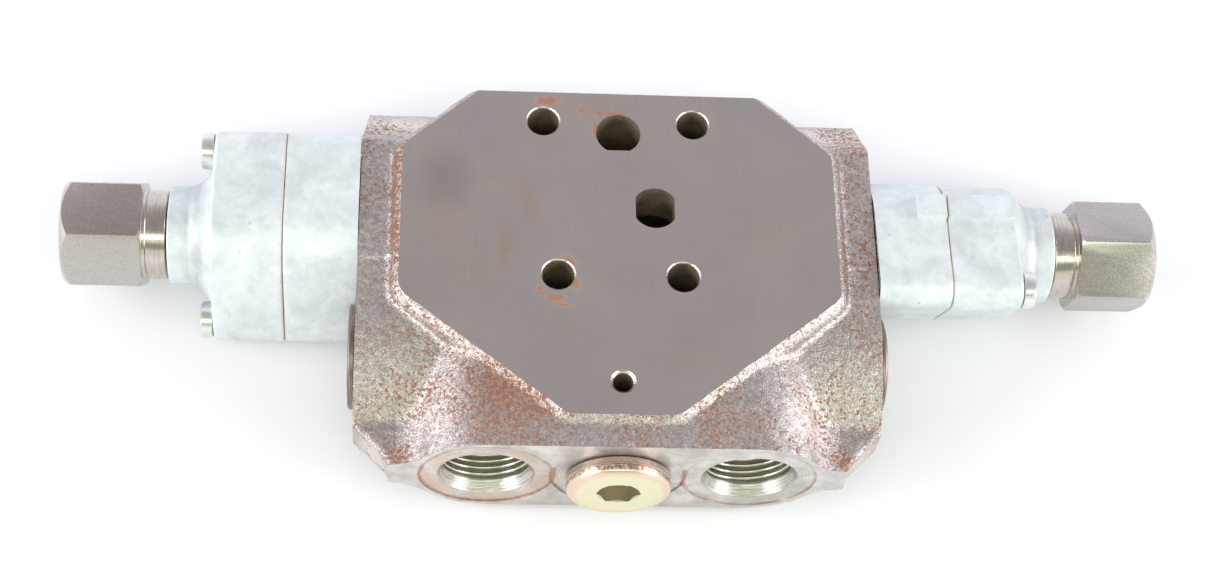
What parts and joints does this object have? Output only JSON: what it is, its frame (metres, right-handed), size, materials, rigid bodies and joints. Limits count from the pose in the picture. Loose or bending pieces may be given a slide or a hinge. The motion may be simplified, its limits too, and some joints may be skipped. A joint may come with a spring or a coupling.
{
  "type": "multiport valve",
  "caption": "Section of a stacked hydraulic directional valve: cast body with work ports and passages, sliding spool, spring-centred pilot caps with hex adapters at both ends.",
  "frame": {"origin": "on the back mating face, under the middle of the spool and level with the centre port", "axes": "+X along the spool, +Y away from the work ports, +Z through the stack towards the next section"},
  "size_m": [0.3444, 0.1276, 0.048],
  "materials": {
    "cast_iron": "grainy casting with machined faces and light rust",
    "die_cast": "die-cast skin, mottled",
    "steel": "turned and cold drawn",
    "hard_steel": "hardened and ground",
    "white_zinc": "white zinc plate",
    "yellow_zinc": "yellow zinc plate",
    "spring_steel": "oiled wire",
    "nitrile": "matt"
  },
  "bodies": {
    "valve": {"valve_body": "cast_iron", "left_spring_housing": "die_cast", "left_end_cap": "die_cast", "left_pilot_adapter": "steel", "left_front_cap_screw": "white_zinc", "left_back_cap_screw": "white_zinc", "left_housing_seal": "nitrile", "left_cap_seal": "nitrile", "left_adapter_seal": "nitrile", "left_spring_guide": "hard_steel", "left_centring_spring": "spring_steel", "left_cavity_plug": "steel", "right_spring_housing": "die_cast", "right_end_cap": "die_cast", "right_pilot_adapter": "steel", "right_front_cap_screw": "white_zinc", "right_back_cap_screw": "white_zinc", "right_housing_seal": "nitrile", "right_cap_seal": "nitrile", "right_adapter_seal": "nitrile", "right_spring_guide": "hard_steel", "right_centring_spring": "spring_steel", "right_cavity_plug": "steel", "centre_plug_washer": "yellow_zinc", "centre_plug": "yellow_zinc", "compensator_spring": "spring_steel", "supply_seal": "nitrile", "tank_seal": "nitrile", "load_sense_seal": "nitrile", "shuttle_seat": "hard_steel"},
    "spool": {"spool": "hard_steel", "left_spring_seat": "hard_steel", "left_seat_screw": "steel", "right_spring_seat": "hard_steel", "right_seat_screw": "steel"},
    "compensator": {"compensator_piston": "hard_steel"},
    "shuttle": {"shuttle_ball": "hard_steel"}
  },
  "joints": [
    {"name": "spool_slide", "type": "slide", "parent": "valve", "child": "spool", "axis": [1, 0, 0], "range_m": [-0.007, 0.007], "stiffness_N_per_m": 9000, "deforming": ["left_centring_spring", "right_centring_spring"]},
    {"name": "compensator_slide", "type": "slide", "parent": "valve", "child": "compensator", "axis": [0, -1, 0], "range_m": [0, 0.004], "stiffness_N_per_m": 2000, "springref_m": -0.005, "deforming": ["compensator_spring"]},
    {"name": "shuttle_lift", "type": "slide", "parent": "valve", "child": "shuttle", "axis": [0, 0, 1], "range_m": [0, 0.0017]}
  ]
}
